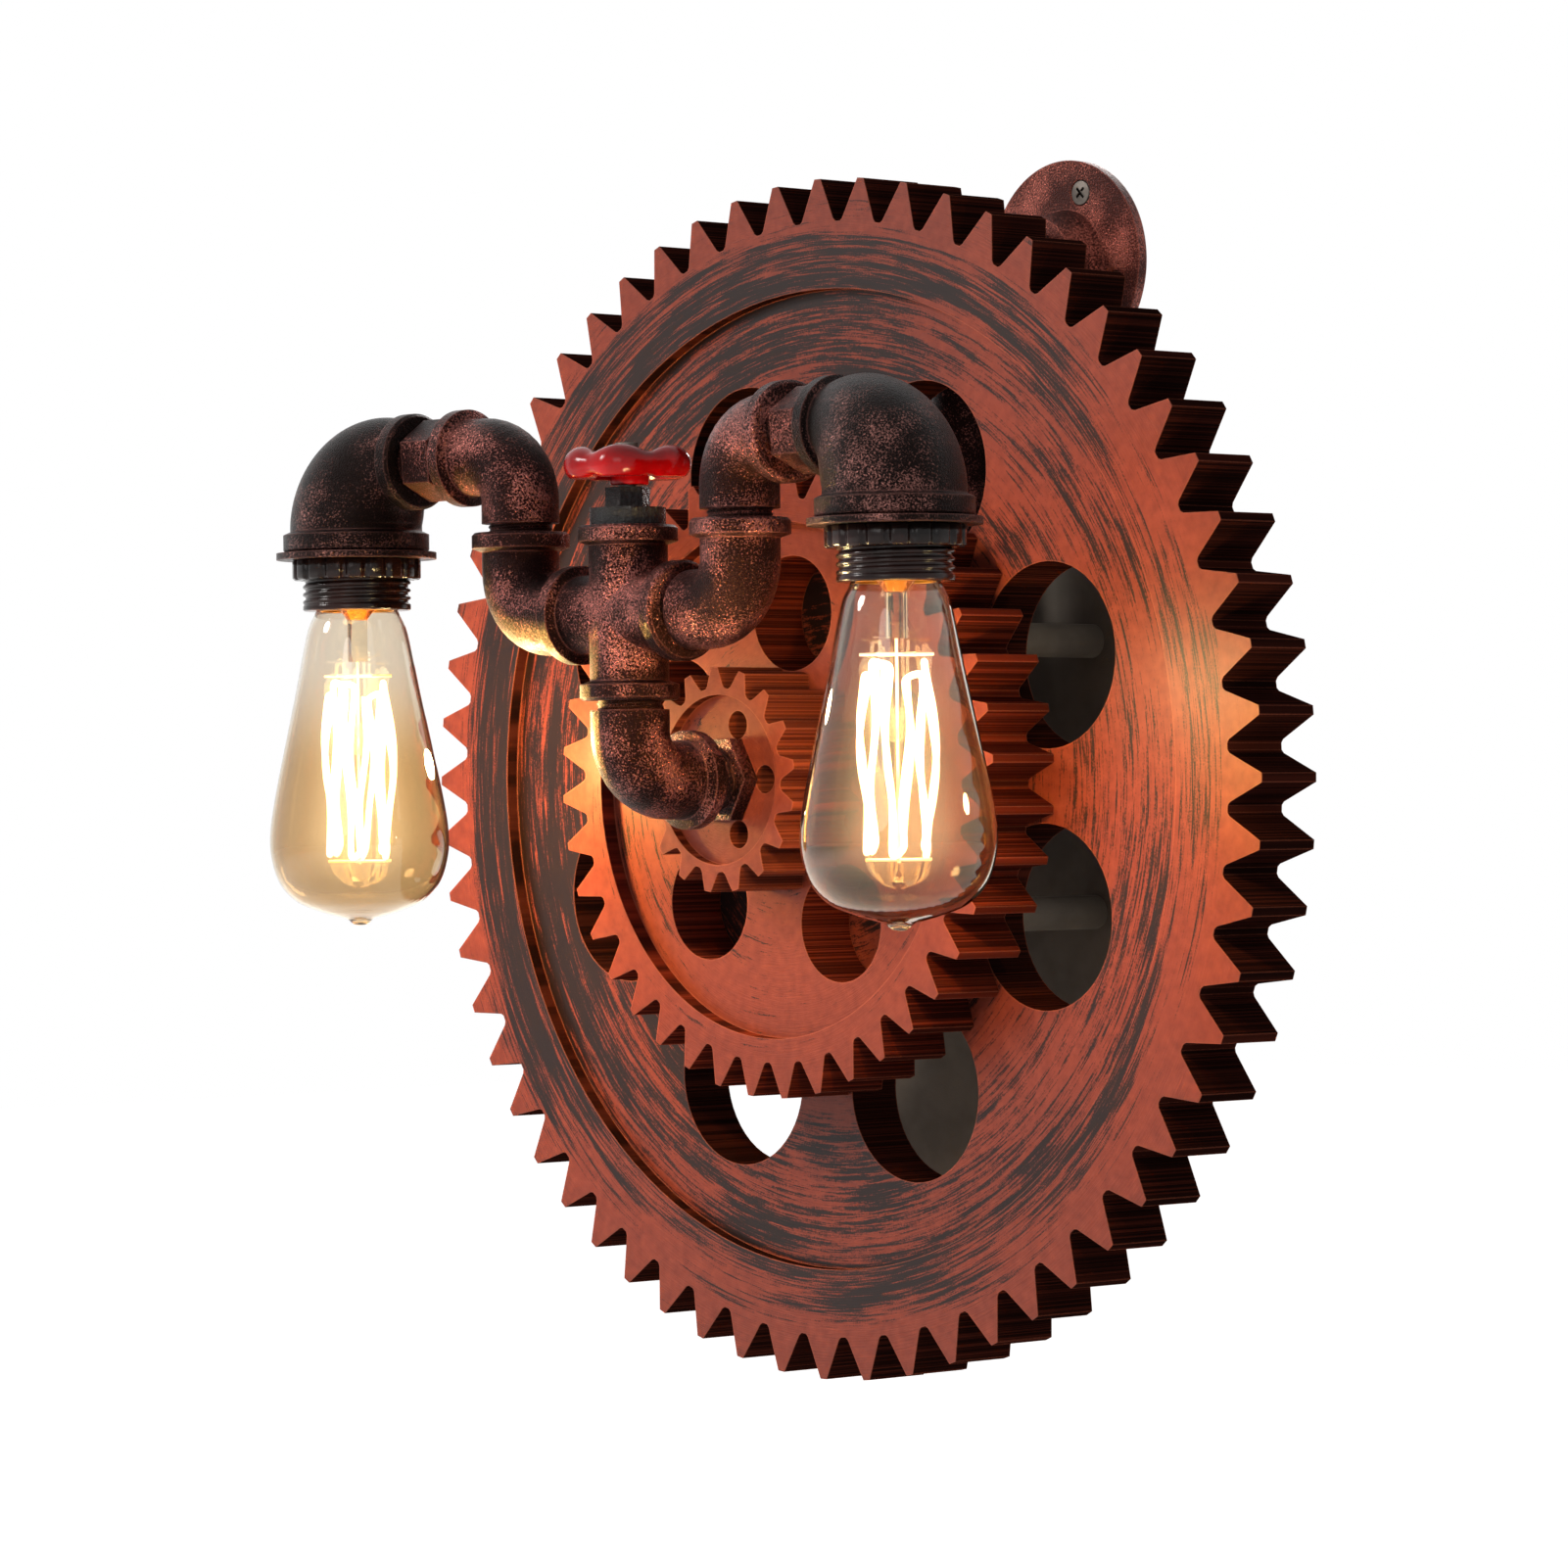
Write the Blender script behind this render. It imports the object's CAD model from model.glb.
# %% [markdown]
# # A wall light built from threaded pipe
# Three toothed gears hang on a half-inch pipe that comes out of a wall flange. In front of them a
# pipe cross carries two arms, each with a lampholder and a pear-shaped filament bulb, and a small red
# valve wheel. The CAD model already has every piece at its real size. This file loads it, gives each
# piece its finish, and remakes the pieces that need more than plain solids: glass, filaments,
# screw threads, knurled nuts, the cast wheel and the wall screws.

# %% Load the frame
import math
import bmesh
import bpy
from mathutils import Euler, Matrix, Vector


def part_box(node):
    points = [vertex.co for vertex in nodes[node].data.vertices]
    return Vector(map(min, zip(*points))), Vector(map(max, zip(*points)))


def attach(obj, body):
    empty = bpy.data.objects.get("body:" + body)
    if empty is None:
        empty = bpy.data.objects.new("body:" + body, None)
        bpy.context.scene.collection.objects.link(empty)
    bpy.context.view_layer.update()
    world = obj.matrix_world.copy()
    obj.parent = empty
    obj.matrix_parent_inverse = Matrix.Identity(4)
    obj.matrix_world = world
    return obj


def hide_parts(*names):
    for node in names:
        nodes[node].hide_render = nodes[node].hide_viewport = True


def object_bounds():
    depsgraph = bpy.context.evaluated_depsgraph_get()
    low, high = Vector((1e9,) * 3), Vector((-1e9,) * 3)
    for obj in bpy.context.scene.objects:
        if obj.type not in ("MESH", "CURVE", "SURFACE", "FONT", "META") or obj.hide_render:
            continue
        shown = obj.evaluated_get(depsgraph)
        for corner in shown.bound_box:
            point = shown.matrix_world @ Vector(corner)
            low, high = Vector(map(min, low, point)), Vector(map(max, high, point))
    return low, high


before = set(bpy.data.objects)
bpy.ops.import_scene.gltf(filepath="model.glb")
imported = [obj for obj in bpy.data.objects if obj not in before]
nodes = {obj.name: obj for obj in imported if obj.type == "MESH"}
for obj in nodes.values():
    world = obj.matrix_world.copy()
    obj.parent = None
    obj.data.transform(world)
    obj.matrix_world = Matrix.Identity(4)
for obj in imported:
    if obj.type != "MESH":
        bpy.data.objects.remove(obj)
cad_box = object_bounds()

MM = 0.001

# %% [markdown]
# ## Places taken from the frame
# Nothing here is typed twice. A node's box gives its axis and its ends, so a remade piece sits
# exactly where the solid sits.


# %% Places
def centre(node):
    low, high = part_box(node)
    return (low + high) / 2


def lowest(node):
    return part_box(node)[0]


def highest(node):
    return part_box(node)[1]


SIDES = {"left": -1, "right": 1}
GEAR_AXIS = centre("big_gear")
LAMP = {side: Vector((centre("lampholder_" + side).x, centre("lampholder_" + side).y,
                      lowest("lampholder_" + side).z)) for side in SIDES}
WHEEL = centre("valve_wheel")
PIPE_RADIUS = (highest("rear_pipe").x - lowest("rear_pipe").x) / 2
print("gear axis", tuple(round(v, 4) for v in GEAR_AXIS))
print("lamps", [tuple(round(v, 4) for v in spot) for spot in LAMP.values()])

# %% [markdown]
# ## Camera
# The photograph was taken from the right of the light, at its own height, with a long lens. The
# three gears' faces are circles, so the ellipses that they make in the picture fix where the camera
# stood. A long lens keeps near and far gears almost the same size.

# %% Camera
PHOTO_WIDTH = 1601
FOCAL_PIXELS = 5912.3
CAMERA_PLACE = Vector((1.4872, -1.5053, -0.19865))
LOOK_UP, LOOK_ROUND, ROLL = math.radians(0.2866), math.radians(47.5575), math.radians(-0.6557)

camera_data = bpy.data.cameras.new("photo_camera")
camera_data.sensor_width = 36
camera_data.lens = FOCAL_PIXELS / PHOTO_WIDTH * camera_data.sensor_width
camera_data.clip_end = 30
camera = bpy.data.objects.new("photo_camera", camera_data)
aim = Euler((math.pi / 2 + LOOK_UP, 0, LOOK_ROUND)).to_matrix() @ Matrix.Rotation(ROLL, 3, "Z")
camera.matrix_world = Matrix.Translation(CAMERA_PLACE) @ aim.to_4x4()
bpy.context.scene.collection.objects.link(camera)
bpy.context.scene.camera = camera
print("lens", round(camera_data.lens, 1), "mm")

# %% [markdown]
# ## Small helpers for shader nodes
# A material is a tree of nodes. `add` makes one node and fills or wires its sockets by their names,
# so a whole effect reads as a list of what feeds what. `maths` does the same for one sum, and
# `spread` turns a band of values into a mask from 0 to 1.


# %% Node helpers
def wire(tree, socket, value):
    if isinstance(value, bpy.types.NodeSocket):
        tree.links.new(value, socket)
    else:
        socket.default_value = value


def add(tree, kind, settings=(), **inputs):
    node = tree.nodes.new("ShaderNode" + kind)
    for name, value in dict(settings).items():
        setattr(node, name, value)
    for name, value in inputs.items():
        wire(tree, node.inputs[name.replace("_", " ")], value)
    return node


def maths(tree, operation, *values):
    node = tree.nodes.new("ShaderNodeMath")
    node.operation = operation
    for socket, value in zip(node.inputs, values):
        wire(tree, socket, value)
    return node.outputs[0]


def vector_maths(tree, operation, *values, out=0):
    node = tree.nodes.new("ShaderNodeVectorMath")
    node.operation = operation
    for socket, value in zip(node.inputs, values):
        wire(tree, socket, value)
    return node.outputs[out]


def spread(tree, value, low, high):
    node = add(tree, "MapRange", {"interpolation_type": "SMOOTHSTEP"})
    for name, item in (("Value", value), ("From Min", low), ("From Max", high)):
        wire(tree, node.inputs[name], item)
    return node.outputs["Result"]


def blend_colours(tree, mask, first, second):
    node = add(tree, "Mix", {"data_type": "RGBA"})
    for index, value in ((0, mask), (6, first), (7, second)):
        wire(tree, node.inputs[index], value)
    return node.outputs[2]


def blend_shaders(tree, mask, first, second):
    node = add(tree, "MixShader")
    for index, value in enumerate((mask, first, second)):
        wire(tree, node.inputs[index], value)
    return node.outputs[0]


def seen_directly(tree):
    """1 for a ray from the camera, from a mirror or through glass, and 0 for light that only fills."""
    ray = add(tree, "LightPath").outputs
    through = maths(tree, "MAXIMUM", ray["Is Glossy Ray"], ray["Is Transmission Ray"])
    return maths(tree, "MAXIMUM", ray["Is Camera Ray"], through)


def paint(red, green, blue):
    """A colour read as 0 to 255, as a screen shows it, in the linear values that nodes use."""
    return tuple((c / 255 / 12.92 if c <= 10 else ((c / 255 + 0.055) / 1.055) ** 2.4)
                 for c in (red, green, blue)) + (1.0,)


def group(name, inputs, outputs):
    """An empty shader node group with its sockets, and its way in and out."""
    tree = bpy.data.node_groups.new(name, "ShaderNodeTree")
    for label, kind, value in inputs:
        socket = tree.interface.new_socket(label, in_out="INPUT", socket_type="NodeSocket" + kind)
        socket.default_value = value
    for label, kind in outputs:
        tree.interface.new_socket(label, in_out="OUTPUT", socket_type="NodeSocket" + kind)
    return tree, tree.nodes.new("NodeGroupInput").outputs, tree.nodes.new("NodeGroupOutput").inputs


def use(tree, shared, **inputs):
    """Place a shared group in a material."""
    node = tree.nodes.new("ShaderNodeGroup")
    node.node_tree = shared
    for name, value in inputs.items():
        wire(tree, node.inputs[name.replace("_", " ")], value)
    return node.outputs


print("node helpers ready")

# %% [markdown]
# ## Shared effect: softened edges
# No cast or painted edge is perfectly sharp, and paint wears off it first. The Bevel node looks a
# little way round each point and gives the normal that a rounded edge would have. Where that normal
# leans away from the true one there is an edge, so the same node also gives a wear mask.

# %% Softened edges
soft_edges, way_in, way_out = group(
    "soft_edges", [("Radius", "Float", 0.0008)], [("Normal", "Vector"), ("Edge", "Float")])
rounded = add(soft_edges, "Bevel", {"samples": 6}, Radius=way_in["Radius"]).outputs[0]
flat = add(soft_edges, "NewGeometry").outputs["Normal"]
lean = vector_maths(soft_edges, "DOT_PRODUCT", rounded, flat, out=1)
wire(soft_edges, way_out["Normal"], rounded)
EDGE_STARTS, EDGE_FULL = 0.995, 0.86
wire(soft_edges, way_out["Edge"], spread(soft_edges, lean, EDGE_STARTS, EDGE_FULL))
print("group", soft_edges.name)

# %% [markdown]
# ## Shared effect: cast grain
# Malleable iron is cast in sand, and the paint on it is rubbed so that the high grains show copper.
# A fine noise gives the grains, and a broad one decides where the rubbing caught them.

# %% Cast grain
cast_grain, way_in, way_out = group(
    "cast_grain", [("Grain", "Float", 900.0), ("Cover", "Float", 0.5), ("Patch", "Float", 45.0)],
    [("Speckle", "Float"), ("Height", "Float"), ("Patches", "Float")])
PATCH_PULL, SPECKLE_SOFTNESS = 0.7, 0.24
tree = cast_grain
place = add(tree, "TexCoord").outputs["Object"]
fine = add(tree, "TexNoise", Vector=place, Scale=way_in["Grain"], Detail=4.0, Roughness=0.6).outputs[0]
broad = add(tree, "TexNoise", Vector=place, Scale=way_in["Patch"], Detail=3.0, Roughness=0.5).outputs[0]
pull = maths(tree, "MULTIPLY", maths(tree, "SUBTRACT", broad, 0.5), PATCH_PULL)
lifted = maths(tree, "ADD", fine, pull)
edge = maths(tree, "SUBTRACT", 1.0, way_in["Cover"])
wire(tree, way_out["Speckle"], spread(tree, lifted, edge, maths(tree, "ADD", edge, SPECKLE_SOFTNESS)))
wire(tree, way_out["Height"], fine)
wire(tree, way_out["Patches"], spread(tree, broad, 0.35, 0.65))
print("group", cast_grain.name)

# %% [markdown]
# ## Shared effect: brushed streaks round an axis
# The gears are painted copper red, and a dry brush with dark paint was dragged round them while they
# turned. To get streaks that follow a circle, the noise isn't read at the point itself but at its
# direction from the axis, squeezed, and its distance from the axis, stretched. A patch noise makes
# the brush skip. Past the tooth roots it hardly touched, and right of the axis it left a little less,
# as the photograph shows. The Face mask tells brushed faces from the sides.

# %% Brushed streaks
brushed_streaks, way_in, way_out = group(
    "brushed_streaks", [("Axis", "Vector", (0, 0, 0)), ("Root", "Float", 0.19), ("Cover", "Float", 0.5)],
    [("Streak", "Float"), ("Height", "Float"), ("Face", "Float"), ("Mottle", "Float")])
tree = brushed_streaks
place = add(tree, "TexCoord").outputs["Object"]
spoke = vector_maths(tree, "MULTIPLY", vector_maths(tree, "SUBTRACT", place, way_in["Axis"]), (1.0, 0.0, 1.0))
distance = vector_maths(tree, "LENGTH", spoke, out=1)
heading = vector_maths(tree, "NORMALIZE", spoke)


def drawn(along, across, shift):
    """Noise drawn out round the axis: few cells along the stroke, many across it."""
    scaled = add(tree, "VectorMath", {"operation": "SCALE"}, Scale=along)
    wire(tree, scaled.inputs[0], heading)
    stretched = add(tree, "CombineXYZ", X=shift, Y=maths(tree, "MULTIPLY", distance, across)).outputs[0]
    seat = vector_maths(tree, "ADD", scaled.outputs[0], stretched)
    return add(tree, "TexNoise", Vector=seat, Scale=1.0, Detail=5.0, Roughness=0.62).outputs[0]


strokes = drawn(4.0, 560.0, 0.0)
hairs = drawn(11.0, 1700.0, 4.0)
sweeps = drawn(1.8, 55.0, 8.0)
grit = add(tree, "TexNoise", Vector=place, Scale=1500.0, Detail=2.0).outputs[0]
rightward = add(tree, "SeparateXYZ", Vector=heading).outputs["X"]
past_root = maths(tree, "ADD", way_in["Root"], 2 * MM)
within_root = maths(tree, "SUBTRACT", way_in["Root"], 6 * MM)
inside = spread(tree, distance, past_root, within_root)
LAYERS = ((strokes, 0.46), (hairs, 0.38), (sweeps, 0.42), (grit, 0.14), (inside, 0.13),
          (rightward, -0.045), (way_in["Cover"], 1.0))
STREAK_STARTS, STREAK_FULL = 1.315, 1.395
weight = 0.0
for layer, share in LAYERS:
    weight = maths(tree, "ADD", weight, maths(tree, "MULTIPLY", layer, share))
wire(tree, way_out["Streak"], spread(tree, weight, STREAK_STARTS, STREAK_FULL))
wire(tree, way_out["Height"], hairs)
across_face = add(tree, "SeparateXYZ", Vector=add(tree, "NewGeometry").outputs["Normal"]).outputs["Y"]
wire(tree, way_out["Face"], spread(tree, maths(tree, "ABSOLUTE", across_face), 0.35, 0.8))
wire(tree, way_out["Mottle"], add(tree, "TexNoise", Vector=place, Scale=260.0, Detail=3.0).outputs[0])
print("group", brushed_streaks.name)

# %% [markdown]
# ## Finishes
# Each finish is one material. `finish` makes it and returns its tree and its Principled shader, and
# numbers that are the same all over go straight on the shader.


# %% Material helper
def finish(name, **values):
    material = bpy.data.materials.new(name)
    material.use_nodes = True
    shader = material.node_tree.nodes["Principled BSDF"]
    for label, value in values.items():
        shader.inputs[label.replace("_", " ")].default_value = value
    return material, material.node_tree, shader


def bump(tree, shader, height, depth, normal):
    """Raise the surface by a height map, a real depth in metres at its full range."""
    node = add(tree, "Bump", Height=height, Distance=depth, Strength=1.0, Normal=normal)
    wire(tree, shader.inputs["Normal"], node.outputs["Normal"])


print("material helper ready")

# %% [markdown]
# ### Copper-red gear paint
# The faces show the brushed streaks. The toothed sides and window walls were never brushed. There
# the paint is deep brown, darkest on the big gear, with a little of the red left on it. The gloss is
# a thin coat on the faces alone, so that light never hazes the dark sides.


# %% Gear paint
def gear_paint(name, root, cover, dark_side, glaze):
    material, tree, shader = finish(name, Specular_IOR_Level=0.0, Coat_Roughness=0.34,
                                    Coat_Tint=(1.0, 0.82, 0.7, 1))
    streaks = use(tree, brushed_streaks, Axis=GEAR_AXIS, Root=root, Cover=cover)
    soft = use(tree, soft_edges, Radius=0.9 * MM)
    red = blend_colours(tree, streaks["Mottle"], paint(96, 40, 30), paint(134, 66, 52))
    face = blend_colours(tree, streaks["Streak"], red, paint(30, 20, 20))
    side = blend_colours(tree, spread(tree, streaks["Height"], 0.42, 0.68), dark_side, glaze)
    colour = blend_colours(tree, streaks["Face"], side, face)
    worn = blend_colours(tree, maths(tree, "MULTIPLY", soft["Edge"], 0.45), colour, paint(178, 100, 78))
    wire(tree, shader.inputs["Base Color"], worn)
    wire(tree, shader.inputs["Coat Weight"], maths(tree, "MULTIPLY", streaks["Face"], 0.5))
    rough = add(tree, "MapRange", Value=streaks["Streak"], To_Min=0.5, To_Max=0.7).outputs[0]
    wire(tree, shader.inputs["Roughness"], rough)
    bump(tree, shader, streaks["Height"], 0.6 * MM, soft["Normal"])
    return material


GEAR_PAINT = {
    "big_gear": gear_paint("big_gear_paint", 195 * MM, 0.53, paint(26, 12, 10), paint(66, 29, 22)),
    "middle_gear": gear_paint("middle_gear_paint", 98.4 * MM, 0.42, paint(50, 20, 15), paint(112, 44, 30)),
    "small_gear": gear_paint("small_gear_paint", 31.8 * MM, 0.42, paint(70, 32, 24), paint(130, 62, 44)),
}
print(list(GEAR_PAINT))


# %% [markdown]
# ### Rubbed bronze on cast pipe fittings
# Almost black in the hollows, pink copper where a cloth rubbed the grains and the banded collars.


# %% Pipe bronze
def rubbed_bronze(name, dark, copper, cover):
    material, tree, shader = finish(name, Metallic=1.0)
    grain = use(tree, cast_grain, Grain=1500.0, Cover=cover, Patch=55.0)
    soft = use(tree, soft_edges, Radius=1.1 * MM)
    colour = blend_colours(tree, grain["Speckle"], dark, copper)
    rub = maths(tree, "MULTIPLY", soft["Edge"], 0.4)
    wire(tree, shader.inputs["Base Color"], blend_colours(tree, rub, colour, copper))
    rough = add(tree, "MapRange", Value=grain["Speckle"], To_Min=0.36, To_Max=0.24).outputs[0]
    wire(tree, shader.inputs["Roughness"], rough)
    bump(tree, shader, grain["Height"], 0.7 * MM, soft["Normal"])
    return material


PIPE_BRONZE = rubbed_bronze("pipe_bronze", paint(26, 14, 13), paint(148, 90, 82), 0.52)
LAMP_BRONZE = rubbed_bronze("lamp_bronze", paint(20, 14, 13), paint(116, 78, 72), 0.47)
FLANGE_BRONZE = rubbed_bronze("flange_bronze", paint(54, 26, 22), paint(150, 82, 70), 0.55)
THREAD_BLACK = rubbed_bronze("thread_black", paint(18, 11, 10), paint(110, 68, 60), 0.45)
print("four bronzes")

# %% [markdown]
# ### Small finishes
# Moulded phenolic for the lampholders, black enamel for the bushing and gland nut, red enamel for
# the wheel, powder coat for the plate, dull zinc for washers and screws, brass for the contacts.


# %% Small finishes
def enamel(name, dark, light, rough, grain_size=500.0, relief=0.1 * MM, radius=0.6 * MM, metal=0.0,
           shine=0.25):
    """A moulded, enamelled or plated finish, with faint unevenness and soft edges."""
    material, tree, shader = finish(name, Metallic=metal, Roughness=rough, Specular_IOR_Level=shine)
    grain = use(tree, cast_grain, Grain=grain_size, Cover=0.5, Patch=60.0)
    soft = use(tree, soft_edges, Radius=radius)
    colour = blend_colours(tree, grain["Patches"], dark, light)
    rub = maths(tree, "MULTIPLY", soft["Edge"], 0.3)
    wire(tree, shader.inputs["Base Color"], blend_colours(tree, rub, colour, light))
    bump(tree, shader, grain["Height"], relief, soft["Normal"])
    return material


HOLDER_BLACK = enamel("holder_black", paint(14, 8, 7), paint(38, 19, 16), 0.16, shine=0.2)
BUSHING_BLACK = enamel("bushing_black", paint(8, 8, 9), paint(24, 21, 21), 0.16,
                       grain_size=700.0, relief=1.6 * MM)
WHEEL_RED = enamel("wheel_red", paint(120, 3, 6), paint(160, 6, 11), 0.1,
                   grain_size=260.0, relief=0.3 * MM, radius=1.2 * MM, shine=0.2)
PLATE_BLACK = enamel("plate_black", paint(86, 79, 70), paint(98, 90, 80), 0.6, grain_size=1400.0)
ZINC = enamel("zinc_steel", paint(66, 60, 56), paint(104, 97, 91), 0.4,
              grain_size=900.0, relief=0.05 * MM, radius=0.4 * MM, metal=1.0)
BRASS = enamel("brass", paint(170, 128, 66), paint(206, 164, 92), 0.3,
               grain_size=800.0, relief=0.05 * MM, radius=0.4 * MM, metal=1.0)
print("six small finishes")

# %% [markdown]
# ### Amber glass
# The bulb glass is clear and tinted amber. It must let the lamp's own light out, so for shadow rays
# it is see-through. The tint deepens downwards, as in the photograph. Lit from inside, the glass also
# glows a little where the filament stands, most where one looks straight through it.


# %% Amber glass
CAGE_TOP, CAGE_BOTTOM = LAMP["left"].z - 24 * MM, LAMP["left"].z - 90 * MM
GLOW = (1.0, 0.74, 0.42, 1)


def lit_glass(name, upper_tint, lower_tint, shine):
    material, tree, shader = finish(name, Roughness=0.0, IOR=1.45, Transmission_Weight=1.0,
                                    Emission_Strength=shine)
    height = add(tree, "SeparateXYZ", Vector=add(tree, "TexCoord").outputs["Object"]).outputs["Z"]
    deeper = spread(tree, height, CAGE_TOP + 8 * MM, CAGE_BOTTOM + 30 * MM)
    wire(tree, shader.inputs["Base Color"], blend_colours(tree, deeper, upper_tint, lower_tint))
    upper = spread(tree, height, CAGE_TOP + 8 * MM, CAGE_TOP - 22 * MM)
    lower = spread(tree, height, CAGE_BOTTOM - 12 * MM, CAGE_BOTTOM + 12 * MM)
    facing = add(tree, "LayerWeight", Blend=0.5).outputs["Facing"]
    straight = spread(tree, facing, 0.24, 0.0)
    amount = maths(tree, "MULTIPLY", maths(tree, "MULTIPLY", upper, lower), straight)
    wire(tree, shader.inputs["Emission Color"], blend_colours(tree, amount, (0, 0, 0, 1), GLOW))
    clear = add(tree, "BsdfTransparent", Color=(1.0, 0.86, 0.62, 1.0))
    shadow = add(tree, "LightPath").outputs["Is Shadow Ray"]
    both = blend_shaders(tree, shadow, shader.outputs[0], clear.outputs[0])
    wire(tree, tree.nodes["Material Output"].inputs["Surface"], both)
    return material


AMBER_GLASS = lit_glass("amber_glass", (0.85, 0.78, 0.68, 1), (0.70, 0.54, 0.34, 1), 0.16)
STEM_GLASS = lit_glass("stem_glass", (0.96, 0.88, 0.72, 1), (0.96, 0.88, 0.72, 1), 0.0)
print("two kinds of glass")

# %% [markdown]
# ### Hot wire
# The filament and the wires that carry it shine by themselves. Both are the same material made twice:
# the filament is nearly white-hot, and its supports are more orange and glow far less.


# %% Hot wire
def glowing(name, colour, strength, grain_size):
    """A wire hot enough to shine, a little uneven along its length."""
    material, tree, shader = finish(name, Metallic=1.0, Roughness=0.4, Emission_Strength=strength)
    grain = use(tree, cast_grain, Grain=grain_size, Cover=0.5, Patch=90.0)
    hot = blend_colours(tree, grain["Patches"], colour, (1.0, 0.9, 0.66, 1))
    wire(tree, shader.inputs["Emission Color"], hot)
    wire(tree, shader.inputs["Base Color"], hot)
    return material


FILAMENT_HOT = glowing("filament_hot", (1.0, 0.74, 0.36, 1), 7.0, 300.0)
SUPPORT_WARM = glowing("support_wire", (1.0, 0.66, 0.26, 1), 1.4, 500.0)
print("hot wires")

# %% [markdown]
# ## Dress the CAD nodes
# A node whose solid is right stays as it is and only gets its finish.

# %% Dress the nodes
FINISH_BY_NODE = {
    "wall_flange": FLANGE_BRONZE, "back_plate": PLATE_BLACK, "switch_bushing": BUSHING_BLACK,
    "gland_nut": BUSHING_BLACK, "switch_body": HOLDER_BLACK, "valve_wheel": WHEEL_RED, **GEAR_PAINT,
}
FINISH_BY_START = {
    "lamp_elbow": LAMP_BRONZE, "shade_ring": LAMP_BRONZE,
    "ring_nut": HOLDER_BLACK, "lampholder": HOLDER_BLACK,
    "screw_shell": BRASS, "centre_contact": BRASS, "bulb_cap": BRASS, "bulb_glass": AMBER_GLASS,
    "bulb_stem": STEM_GLASS, "bulb_supports": SUPPORT_WARM, "bulb_filament": FILAMENT_HOT,
    "plate_spacers": PLATE_BLACK, "plate_screws": ZINC,
    "rear_washer": ZINC, "rear_locknut": ZINC, "wheel_screw": ZINC, "spindle": ZINC,
}
for name, node in nodes.items():
    start = next((key for key in FINISH_BY_START if name.startswith(key)), None)
    chosen = FINISH_BY_NODE.get(name) or FINISH_BY_START.get(start) or PIPE_BRONZE
    node.data.materials.clear()
    node.data.materials.append(chosen)
print(len(nodes), "nodes dressed")

# %% [markdown]
# ## Turned pieces
# Much of a light is turned on a lathe: glass, skirts, nuts and threads. `turned` spins a closed
# section round an axis. A section point may carry a ripple, which moves it in or out as the piece
# goes round. That is enough for a screw thread, whose ripple climbs, and for knurling.


# %% Turned pieces
def mesh_object(name, verts, faces, material, body):
    mesh = bpy.data.meshes.new(name)
    mesh.from_pydata([tuple(v) for v in verts], [], faces)
    mesh.validate()
    form = bmesh.new()
    form.from_mesh(mesh)
    bmesh.ops.remove_doubles(form, verts=form.verts, dist=1e-7)
    bmesh.ops.recalc_face_normals(form, faces=form.faces)
    form.to_mesh(mesh)
    form.free()
    mesh.materials.append(material)
    for polygon in mesh.polygons:
        polygon.use_smooth = True
    piece = bpy.data.objects.new(name, mesh)
    bpy.context.scene.collection.objects.link(piece)
    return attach(piece, body)


def turned(name, section, material, body, at, axis=(0, 0, 1), steps=96, ripple=None, closed=True):
    """Spin (radius, height) points round an axis. ripple(index, height, angle) adds to the radius."""
    stand = Vector((0, 0, 1)).rotation_difference(Vector(axis)).to_matrix()
    verts, faces, rows = [], [], len(section)
    for step in range(steps):
        angle = 2 * math.pi * step / steps
        for index, (radius, height) in enumerate(section):
            wide = radius + (ripple(index, height, angle) if ripple else 0)
            around = Vector((wide * math.cos(angle), wide * math.sin(angle), height))
            verts.append(Vector(at) + stand @ around)
    for step in range(steps):
        here, beyond = step * rows, (step + 1) % steps * rows
        for index in range(rows if closed else rows - 1):
            above = (index + 1) % rows
            faces.append((here + index, beyond + index, beyond + above, here + above))
    return mesh_object(name, verts, faces, material, body)


def smooth_line(points, between):
    """Points along a smooth curve through the given ones (Catmull-Rom)."""
    line = []
    ends = [points[0]] + list(points) + [points[-1]]
    for a, b, c, d in zip(ends, ends[1:], ends[2:], ends[3:]):
        for step in range(between):
            t = step / between
            line.append(tuple(0.5 * (2 * q + (r - p) * t + (2 * p - 5 * q + 4 * r - s) * t * t
                                     + (3 * q - p - 3 * r + s) * t ** 3) for p, q, r, s in zip(a, b, c, d)))
    return line + [tuple(points[-1])]


print("lathe ready")

# %% [markdown]
# ## Bulb glass
# Pear-shaped: a neck in the brass cap, a long straight taper, a round belly and a sealing nub at the
# bottom. The radii were measured on the photograph, at millimetres below the lampholder. The section
# runs up the outside and back down the inside, so the glass has its real wall.

# %% Bulb glass
GLASS_WALL, GLASS_DROP, NUB_RADIUS = 0.9 * MM, 0.3 * MM, 4 * MM
GLASS_OUTLINE = [(12.4, 7.8), (13.2, 3.0), (15.2, -1.0), (18.0, -8.0), (22.0, -28.0), (26.2, -48.0),
                 (29.9, -66.0), (31.7, -78.0), (31.5, -87.0), (28.6, -96.5), (22.6, -103.2), (14.5, -106.8),
                 (8.4, -108.6), (4.8, -109.6), (3.3, -110.9), (1.9, -111.7), (0.0, -112.0)]


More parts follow.
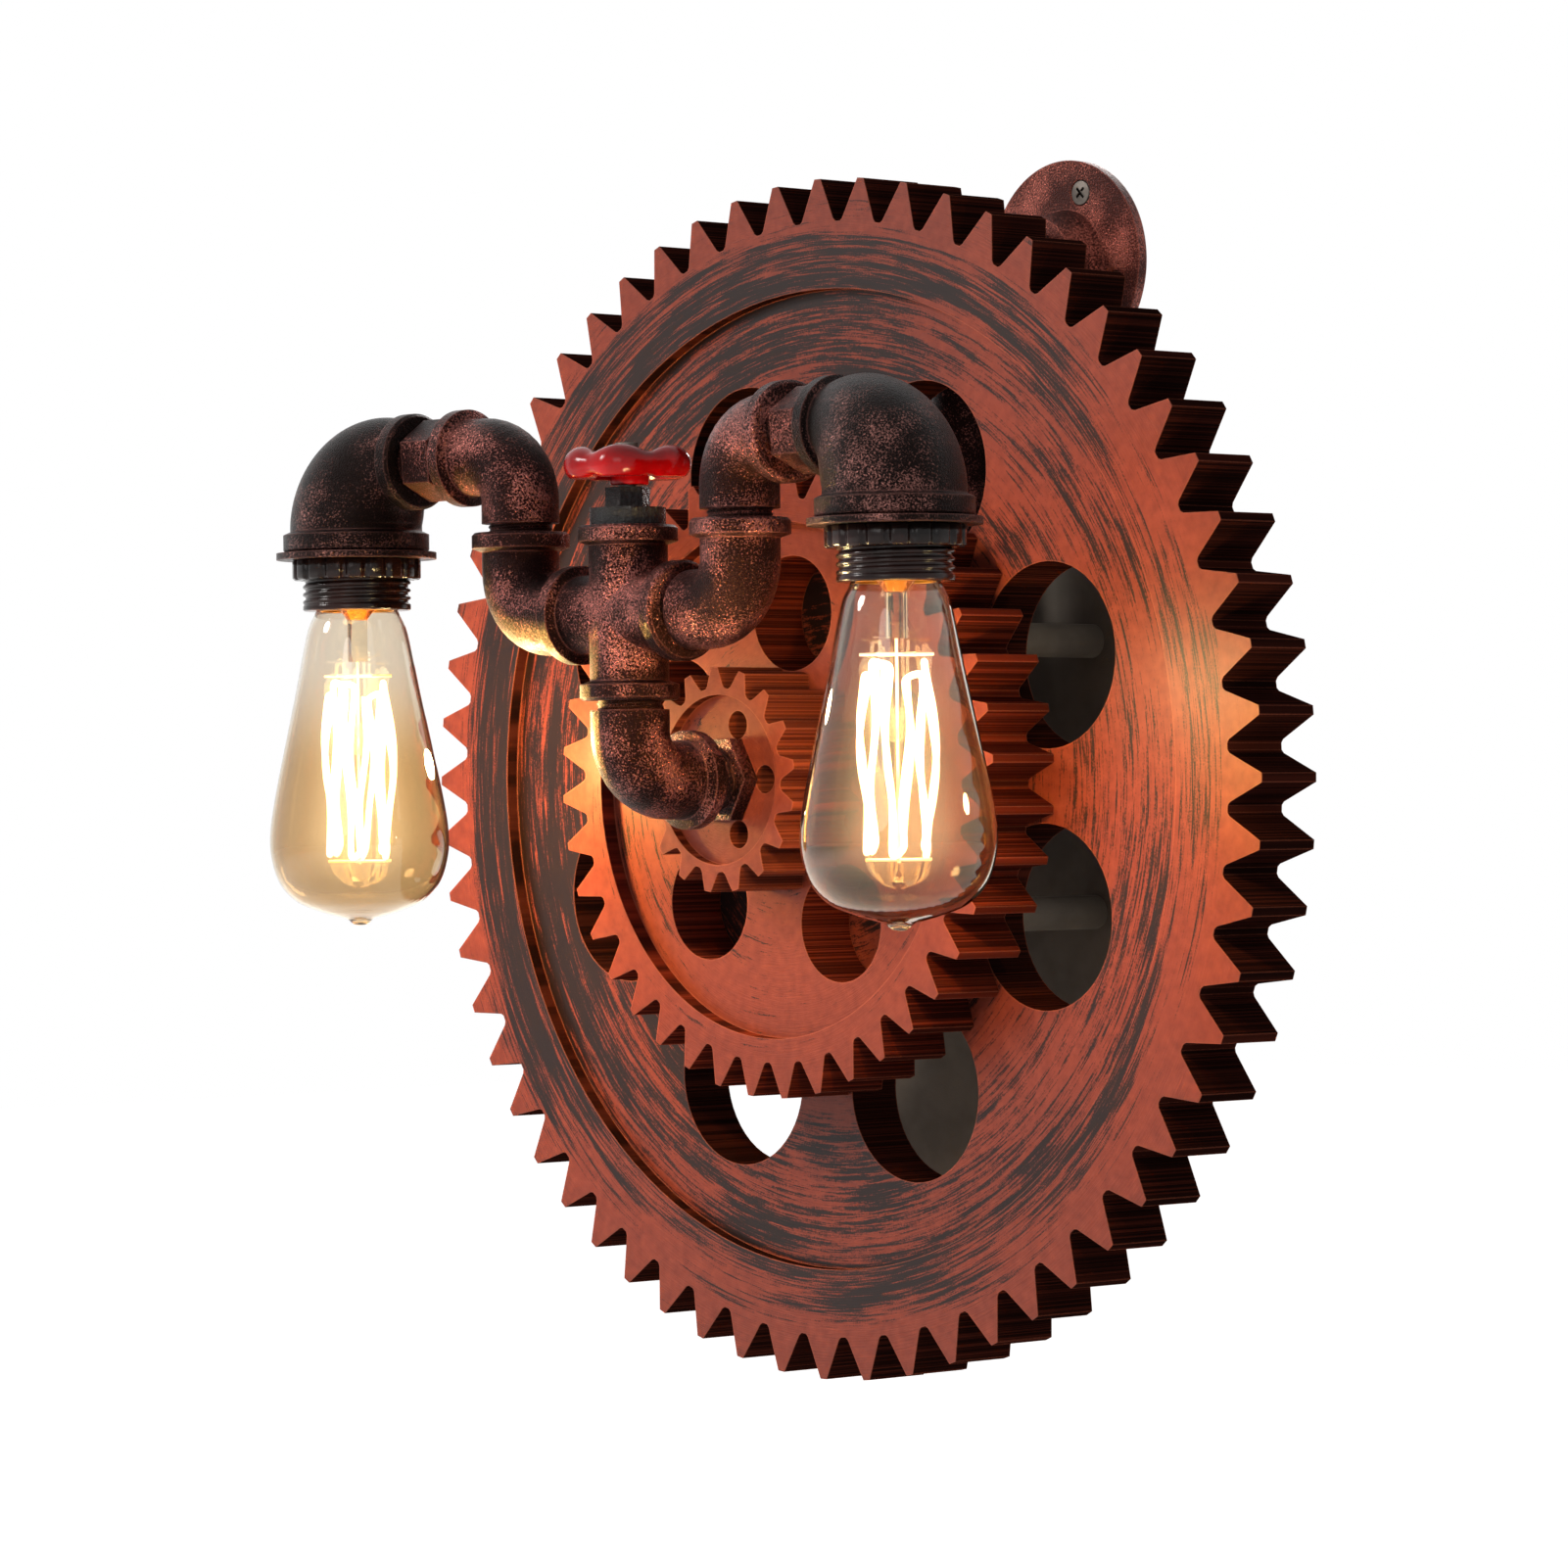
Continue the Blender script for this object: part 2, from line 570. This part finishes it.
def glass_section():
    outside = [(radius * MM, height * MM) for radius, height in smooth_line(GLASS_OUTLINE, 5)]
    outside[-1] = (0.0, outside[-1][1])
    inside = []
    for index, (radius, height) in enumerate(outside):
        if radius < NUB_RADIUS:
            continue
        before, after = outside[max(index - 1, 0)], outside[index + 1]
        out = Vector((after[1] - before[1], before[0] - after[0])).normalized()
        inside.append((radius + out.x * GLASS_WALL, height + out.y * GLASS_WALL))
    inside.append((0.0, inside[-1][1]))
    return outside[::-1] + inside


for side in SIDES:
    glass = turned("glass_" + side, glass_section(), AMBER_GLASS, "bulb_" + side,
                   LAMP[side] - Vector((0, 0, GLASS_DROP)), closed=False)
    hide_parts("bulb_glass_" + side)
    print(glass.name, len(glass.data.vertices), "vertices")

# %% [markdown]
# ## Filament
# One long carbon wire runs up and down round a cage of twelve lines. It is a curve with a round
# bevel, so it stays smooth however close the camera comes. The runs sway and differ in length, as a
# hung wire's do. Lit, it looks far thicker than the hair-thin wire it is, so it has that width.

# %% Filament
CAGE_RADIUS, RUNS = 11.2 * MM, 12
GLOW_RADIUS = 1.15 * MM
LEVELS = (0.0, 0.05, 0.28, 0.5, 0.72, 0.95, 1.0)
NARROW, BULGE, WAVE = 0.92, 0.14, 0.10
SWAY, REACH_ON = 0.16, 0.07


def filament_points(at):
    """Up and down the cage in turn. Share 0 is the run's bottom and share 1 its top."""
    points = []
    for run in range(RUNS):
        bottom = CAGE_BOTTOM + (3.5 + 2.5 * math.sin(2.3 * run)) * MM
        top = CAGE_TOP - (4 + 3 * math.cos(1.7 * run)) * MM
        for share in LEVELS if run % 2 else LEVELS[::-1]:
            wave = math.sin(5 * run + 7 * share)
            wide = CAGE_RADIUS * (NARROW + BULGE * math.sin(share * math.pi) + WAVE * wave)
            reach = REACH_ON if share in (0.0, 1.0) else 0.0
            ahead = 1 if (share == 0.0) == (run % 2 == 0) else -1
            turn = 2 * math.pi * run / RUNS + SWAY * math.cos(3 * run + 6 * share) + reach * ahead
            height = bottom * (1 - share) + top * share
            points.append((at.x + wide * math.cos(turn), at.y + wide * math.sin(turn), height))
    return points


for side in SIDES:
    line = bpy.data.curves.new("filament_" + side, "CURVE")
    line.dimensions = "3D"
    line.bevel_depth = GLOW_RADIUS
    line.bevel_resolution = 3
    line.resolution_u = 6
    route = filament_points(LAMP[side])
    spline = line.splines.new("NURBS")
    spline.points.add(len(route) - 1)
    for point, spot in zip(spline.points, route):
        point.co = (*spot, 1.0)
    spline.order_u = 3
    spline.use_endpoint_u = True
    line.use_fill_caps = True
    wire_piece = bpy.data.objects.new("filament_" + side, line)
    bpy.context.scene.collection.objects.link(wire_piece)
    line.materials.append(FILAMENT_HOT)
    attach(wire_piece, "bulb_" + side)
    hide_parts("bulb_filament_" + side)
print("two filaments of", RUNS, "runs")

# %% [markdown]
# ## Threaded skirts
# Each lampholder ends in a black skirt with a coarse thread, on which the knurled ring nut runs. The
# section follows the solid: skirt, step, neck, and back down the bore. Only the outside of the skirt
# carries the ripple, which climbs one pitch a turn and dies out at both ends.

# %% Threaded skirts
SKIRT_RADIUS, SKIRT_LENGTH, NECK_RADIUS, NECK_TOP = 19.2 * MM, 18.2 * MM, 16.4 * MM, 40.6 * MM
SOCKET_RADIUS, SOCKET_DEEP = 14.0 * MM, 28.2 * MM
SKIRT_PITCH, SKIRT_CUT, SKIRT_LEAD, SKIRT_ROWS = 2.7 * MM, 0.9 * MM, 1.6 * MM, 64


def thread_ripple(first, last, pitch, depth, low, high):
    """A climbing ripple on the section points from first to last, fading at both ends."""
    def ripple(index, height, angle):
        if not first <= index <= last:
            return 0.0
        phase = (height / pitch - angle / (2 * math.pi)) % 1.0
        ridge = max(0.0, min(1.0, 2.6 * abs(2 * phase - 1) - 0.8))
        fade = max(0.0, min(1.0, (height - low) / (0.5 * pitch), (high - height) / (0.5 * pitch)))
        return -depth * ridge * fade
    return ripple


for side in SIDES:
    skirt = [(SKIRT_RADIUS, SKIRT_LENGTH * row / SKIRT_ROWS) for row in range(SKIRT_ROWS + 1)]
    section = [(SKIRT_RADIUS - 0.5 * MM, 0.0)] + [(r, max(h, 0.4 * MM)) for r, h in skirt]
    section += [(NECK_RADIUS, SKIRT_LENGTH), (NECK_RADIUS, NECK_TOP), (0.0, NECK_TOP), (0.0, SOCKET_DEEP),
                (SOCKET_RADIUS, SOCKET_DEEP), (SOCKET_RADIUS, 0.6 * MM), (SOCKET_RADIUS + 0.6 * MM, 0.0)]
    ripple = thread_ripple(1, SKIRT_ROWS + 1, SKIRT_PITCH, SKIRT_CUT, SKIRT_LEAD, SKIRT_LENGTH)
    holder = turned("skirt_" + side, section, HOLDER_BLACK, "root", LAMP[side], ripple=ripple, steps=120)
    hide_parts("lampholder_" + side)
print("skirts with a pitch of", SKIRT_PITCH / MM, "mm")

# %% [markdown]
# ## Knurled ring nuts
# A moulded nut has wide flat ribs with narrow grooves between them, so that fingers can turn it. The
# ripple here doesn't climb: it only depends on the angle.

# %% Ring nuts
NUT_RADIUS, NUT_HEIGHT, NUT_CUT = 22.9 * MM, 7.2 * MM, 1.3 * MM
NUT_RIBS, STEPS_A_RIB = 18, 14


def knurl(index, height, angle):
    if index not in (1, 2, 3, 4):
        return 0.0
    share = (angle * NUT_RIBS / (2 * math.pi)) % 1.0
    return -NUT_CUT * max(0.0, 1 - (abs(share - 0.5) / 0.2) ** 2)


for side in SIDES:
    bottom = lowest("ring_nut_" + side).z - LAMP[side].z
    bore, top = SKIRT_RADIUS + 0.1 * MM, bottom + NUT_HEIGHT
    section = [(bore, bottom), (NUT_RADIUS - 0.7 * MM, bottom), (NUT_RADIUS, bottom + 0.7 * MM),
               (NUT_RADIUS, top - 0.5 * MM), (NUT_RADIUS - 0.5 * MM, top), (bore, top)]
    nut = turned("knurled_nut_" + side, section, HOLDER_BLACK, "root", LAMP[side], ripple=knurl,
                 steps=NUT_RIBS * STEPS_A_RIB)
    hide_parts("ring_nut_" + side)
print("ring nuts with", NUT_RIBS, "ribs")

# %% [markdown]
# ## Bare pipe threads
# Where a male end enters a fitting, a few turns of its thread stay outside. Each is a short threaded
# sleeve over the CAD's plain pipe. Those beside a hex nipple lie along their arm, which leans forward.

# %% Bare pipe threads
THREAD_PITCH, THREAD_CUT = 1.8 * MM, 0.65 * MM
SLEEVE_LIFT, SLEEVE_SINK = 0.45 * MM, 0.8 * MM


def bare_thread(name, start, axis, length):
    rows = max(int(length / THREAD_PITCH * 10), 12)
    crest = PIPE_RADIUS + SLEEVE_LIFT
    section = [(crest, length * row / rows) for row in range(rows + 1)]
    section += [(PIPE_RADIUS - SLEEVE_SINK, length), (PIPE_RADIUS - SLEEVE_SINK, 0.0)]
    ripple = thread_ripple(0, rows, THREAD_PITCH, THREAD_CUT, -THREAD_PITCH, length + THREAD_PITCH)
    sleeve = turned(name, section, THREAD_BLACK, "root", start, axis=axis, steps=72, ripple=ripple)


cross_low, cross_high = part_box("pipe_cross")
cross_at = centre("pipe_cross")
RISER_REACH, SHOWN, FRONT_SHOWN, FLANGE_SHOWN = 27.2 * MM, 3.2 * MM, 7.9 * MM, 10.2 * MM
NIPPLE_ENDS, NIPPLE_SHOWN = {"inner": -10.1 * MM, "outer": 6.5 * MM}, 3.6 * MM
for side, sign in SIDES.items():
    mouth = Vector((cross_high.x * sign, cross_at.y, cross_at.z))
    bare_thread("thread_cross_" + side, mouth, (sign, 0, 0), SHOWN)
    riser = Vector(((cross_high.x + RISER_REACH) * sign, cross_at.y, highest("lower_elbow_" + side).z))
    bare_thread("thread_riser_" + side, riser, (0, 0, 1), SHOWN)
    nipple = centre("hex_nipple_" + side)
    arm = (nipple - riser) * Vector((1, 1, 0))
    arm.normalize()
    for end, offset in NIPPLE_ENDS.items():
        bare_thread("thread_%s_%s" % (end, side), nipple + arm * offset, arm, NIPPLE_SHOWN)
below = Vector((0, cross_at.y, cross_low.z - SHOWN))
bare_thread("thread_cross_below", below, (0, 0, 1), SHOWN)
elbow_mouth = highest("front_elbow").y
bare_thread("thread_front", Vector((0, elbow_mouth, GEAR_AXIS.z)), (0, 1, 0), FRONT_SHOWN)
flange_mouth = lowest("wall_flange").y
bare_thread("thread_flange", Vector((0, flange_mouth, 0)), (0, -1, 0), FLANGE_SHOWN)
print("bare threads done")

# %% [markdown]
# ## Valve wheel
# A small casting has no sharp inside corner anywhere. Rim, lobes, spokes and hub are joined as rough
# solids, a voxel remesh melts them into one skin, and smoothing rounds every joint, as the casting
# sand does. The rim is cut flat underneath, as it reads in the photograph.

# %% Valve wheel
RIM_RADIUS, RIM_TUBE, RIM_BALLS = 16.0 * MM, 5.15 * MM, 80
LOBES, LOBE_SWELL, FIRST_LOBE = 5, 1.25 * MM, math.radians(20)
SPOKE_RADIUS, SPOKE_FLARE, SPOKE_DROP, SPOKE_BALLS = 2.3 * MM, 1.0 * MM, 0.6 * MM, 13
HUB_FOOT, HUB_HEAD, HUB_HEIGHT, HUB_DROP = 6.8 * MM, 6.0 * MM, 10.6 * MM, 1.6 * MM
UNDERSIDE, SKIN_CELL = -4.6 * MM, 0.55 * MM
WHEEL_HUB = Vector((0, WHEEL.y, highest("gland_nut").z + 7.6 * MM))


def ball(form, radius, at):
    bmesh.ops.create_icosphere(form, subdivisions=4, radius=radius, matrix=Matrix.Translation(at))


def cast_wheel(name):
    form = bmesh.new()
    for step in range(RIM_BALLS):
        angle = 2 * math.pi * step / RIM_BALLS
        wave = math.cos(LOBES * (angle - FIRST_LOBE))
        ball(form, RIM_TUBE + LOBE_SWELL * wave, Vector((math.cos(angle), math.sin(angle), 0)) * RIM_RADIUS)
    for lobe in range(LOBES):
        angle = FIRST_LOBE + 2 * math.pi * lobe / LOBES
        for step in range(1, SPOKE_BALLS + 1):
            reach = RIM_RADIUS * step / SPOKE_BALLS
            at = Vector((math.cos(angle), math.sin(angle), 0)) * reach - Vector((0, 0, SPOKE_DROP))
            ball(form, SPOKE_RADIUS + SPOKE_FLARE * abs(step / SPOKE_BALLS - 0.5), at)
    for vert in form.verts:
        vert.co.z = max(vert.co.z, UNDERSIDE)
    bmesh.ops.create_cone(form, cap_ends=True, segments=48, radius1=HUB_FOOT, radius2=HUB_HEAD,
                          depth=HUB_HEIGHT, matrix=Matrix.Translation((0, 0, -HUB_DROP)))
    mesh = bpy.data.meshes.new(name)
    form.to_mesh(mesh)
    form.free()
    rough = bpy.data.objects.new(name, mesh)
    bpy.context.scene.collection.objects.link(rough)
    melt = rough.modifiers.new("melt", "REMESH")
    melt.mode = "VOXEL"
    melt.voxel_size = SKIN_CELL
    soften = rough.modifiers.new("soften", "SMOOTH")
    soften.factor, soften.iterations = 0.5, 8
    bpy.context.view_layer.update()
    skin = bpy.data.meshes.new_from_object(rough.evaluated_get(bpy.context.evaluated_depsgraph_get()))
    bpy.data.objects.remove(rough)
    skin.transform(Matrix.Translation(WHEEL_HUB))
    for polygon in skin.polygons:
        polygon.use_smooth = True
    skin.materials.append(WHEEL_RED)
    wheel = bpy.data.objects.new(name, skin)
    bpy.context.scene.collection.objects.link(wheel)
    return wheel


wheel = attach(cast_wheel("cast_wheel"), "valve")
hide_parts("valve_wheel")
print("wheel", len(wheel.data.vertices), "vertices")

# %% [markdown]
# ## Wall screws
# Four countersunk screws hold the flange. A head is turned, then a cross is cut into it with a
# Boolean modifier, which is baked into the mesh.

# %% Wall screws
SCREW_CIRCLE, SCREW_TURN, HEAD_RADIUS, SHANK_RADIUS = 27 * MM, math.radians(18.8), 4.6 * MM, 2.3 * MM
HEAD_DEPTH, SCREW_SHOWN, HEAD_EDGE, HEAD_DOME = 2.4 * MM, 3.8 * MM, 0.35 * MM, 0.25 * MM
CROSS_SIZE, CROSS_TURN = (5.0 * MM, 2.6 * MM, 1.0 * MM), 0.5
RIM_FACE = 4 * MM


def wall_screw(name, angle):
    at = Vector((SCREW_CIRCLE * math.sin(angle), -RIM_FACE, SCREW_CIRCLE * math.cos(angle)))
    section = [(0.0, SCREW_SHOWN), (SHANK_RADIUS, SCREW_SHOWN), (SHANK_RADIUS, HEAD_DEPTH),
               (HEAD_RADIUS, HEAD_EDGE), (HEAD_RADIUS - 0.3 * MM, 0.0), (0.0, -HEAD_DOME)]
    screw = turned(name, section, ZINC, "root", at, axis=(0, 1, 0), steps=48, closed=False)
    cutter_form = bmesh.new()
    for turn in (0, math.pi / 2):
        spot = Matrix.Translation(at) @ Matrix.Rotation(angle + CROSS_TURN + turn, 4, "Y")
        bmesh.ops.create_cube(cutter_form, size=1.0, matrix=spot @ Matrix.Diagonal((*CROSS_SIZE, 1)))
    cutter_mesh = bpy.data.meshes.new("cross")
    cutter_form.to_mesh(cutter_mesh)
    cutter_form.free()
    cutter = bpy.data.objects.new("cross", cutter_mesh)
    bpy.context.scene.collection.objects.link(cutter)
    cut = screw.modifiers.new("cross", "BOOLEAN")
    cut.object, cut.operation, cut.solver, cut.use_self = cutter, "DIFFERENCE", "EXACT", True
    bpy.context.view_layer.update()
    carved = bpy.data.meshes.new_from_object(screw.evaluated_get(bpy.context.evaluated_depsgraph_get()))
    screw.modifiers.clear()
    screw.data = carved
    for polygon in carved.polygons:
        polygon.use_smooth = False
    bpy.data.objects.remove(cutter)


for number in range(4):
    wall_screw("wall_screw_%d" % (number + 1), SCREW_TURN + number * math.pi / 2)
print("four wall screws")

# %% [markdown]
# ## Floor, background and light
# The photograph has a plain white background. The floor lies well below the light and is white to
# the camera and to mirrors, yet keeps a soft shadow. The world is white to them too, and gives only a
# moderate fill to matt surfaces. The floor shines less near the light, where its shadow falls.

# %% World and floor
world = bpy.data.worlds.new("studio")
bpy.context.scene.world = world
world.use_nodes = True
tree = world.node_tree
tree.nodes.clear()
white = add(tree, "Background", Color=(1, 1, 1, 1), Strength=1.0)
fill = add(tree, "Background", Color=(1, 0.98, 0.97, 1), Strength=0.35)
both = blend_shaders(tree, seen_directly(tree), fill.outputs[0], white.outputs[0])
wire(tree, add(tree, "OutputWorld").inputs["Surface"], both)

floor_mesh = bpy.data.meshes.new("floor")
span, floor_z = 6.0, cad_box[0][2] - 0.25
corners = [(x * span, y * span, floor_z) for x, y in ((-1, -1), (1, -1), (1, 1), (-1, 1))]
floor_mesh.from_pydata(corners, [], [(0, 1, 2, 3)])
floor = bpy.data.objects.new("floor", floor_mesh)
bpy.context.scene.collection.objects.link(floor)
floor_white, tree, shader = finish("floor_white", Base_Color=(0.92, 0.92, 0.91, 1), Roughness=0.9,
                                   Specular_IOR_Level=0.0, Emission_Color=(1, 1, 1, 1))
away = vector_maths(tree, "LENGTH", add(tree, "TexCoord").outputs["Object"], out=1)
glow = add(tree, "MapRange", Value=away, From_Min=0.6, From_Max=1.6, To_Min=0.34, To_Max=0.74).outputs[0]
wire(tree, shader.inputs["Emission Strength"], maths(tree, "MULTIPLY", seen_directly(tree), glow))
floor_mesh.materials.append(floor_white)
bpy.context.scene.view_settings.view_transform = "Standard"
print("floor at", round(floor_z, 3))

# %% [markdown]
# ## Studio lamps
# One strong lamp stands at the upper left, as the dark right-hand sides of the teeth show. A weak
# one fills from the front, and a third lights the back, so that the pipes there can be made out.


# %% Studio lamps
def softbox(name, at, target, size, power, colour):
    data = bpy.data.lights.new(name, "AREA")
    data.shape, data.size, data.energy, data.color = "DISK", size, power, colour
    lamp = bpy.data.objects.new(name, data)
    lamp.location = at
    lamp.rotation_euler = (Vector(target) - Vector(at)).to_track_quat("-Z", "Y").to_euler()
    bpy.context.scene.collection.objects.link(lamp)


MIDDLE = (0, -0.1, -0.18)
softbox("key", (-1.1, -1.7, 0.9), MIDDLE, 0.5, 31, (1.0, 0.97, 0.94))
softbox("front_fill", (1.0, -2.2, 0.5), MIDDLE, 1.0, 7, (1.0, 0.96, 0.94))
softbox("back_fill", (-0.9, 1.8, 0.6), (0, -0.05, -0.18), 1.0, 18, (1.0, 0.97, 0.95))
print("three studio lamps")

# %% [markdown]
# ## Warm glow of the bulbs
# Each lit bulb throws a warm light from its middle. A thin glowing wire lights what is round it with
# much noise, so a small point lamp in each bulb adds that light. Three more stand near the gears and
# elbows to gild them. All five stay in place when a bulb is drawn out.

# %% Warm glow
BULB_MIDDLE = Vector((0, 0, 56 * MM))
gear_face = lowest("middle_gear").y
GLOWS = {
    "bulb_left": (LAMP["left"] - BULB_MIDDLE, 1.7),
    "bulb_right": (LAMP["right"] - BULB_MIDDLE, 0.95),
    "beside_left": (Vector((-116 * MM, gear_face - 42 * MM, GEAR_AXIS.z + 10 * MM)), 0.6),
    "before_elbow": (Vector((72 * MM, lowest("front_elbow").y - 24 * MM, GEAR_AXIS.z + 34 * MM)), 0.5),
    "beside_right": (Vector((212 * MM, lowest("big_gear").y - 50 * MM, GEAR_AXIS.z + 4 * MM)), 0.16),
}
for name, (at, power) in GLOWS.items():
    data = bpy.data.lights.new("glow_" + name, "POINT")
    data.energy, data.color, data.shadow_soft_size = power, (1.0, 0.72, 0.3), 0.006
    lamp = bpy.data.objects.new("glow_" + name, data)
    lamp.location = at
    lamp.visible_camera = lamp.visible_transmission = False
    bpy.context.scene.collection.objects.link(lamp)
print(len(GLOWS), "warm lamps")

# %% [markdown]
# ## Size and hand-over
# The dressed model must not be larger than the solids, so both boxes are written down.

# %% Finish
print("CAD box", [tuple(round(v, 4) for v in corner) for corner in cad_box])
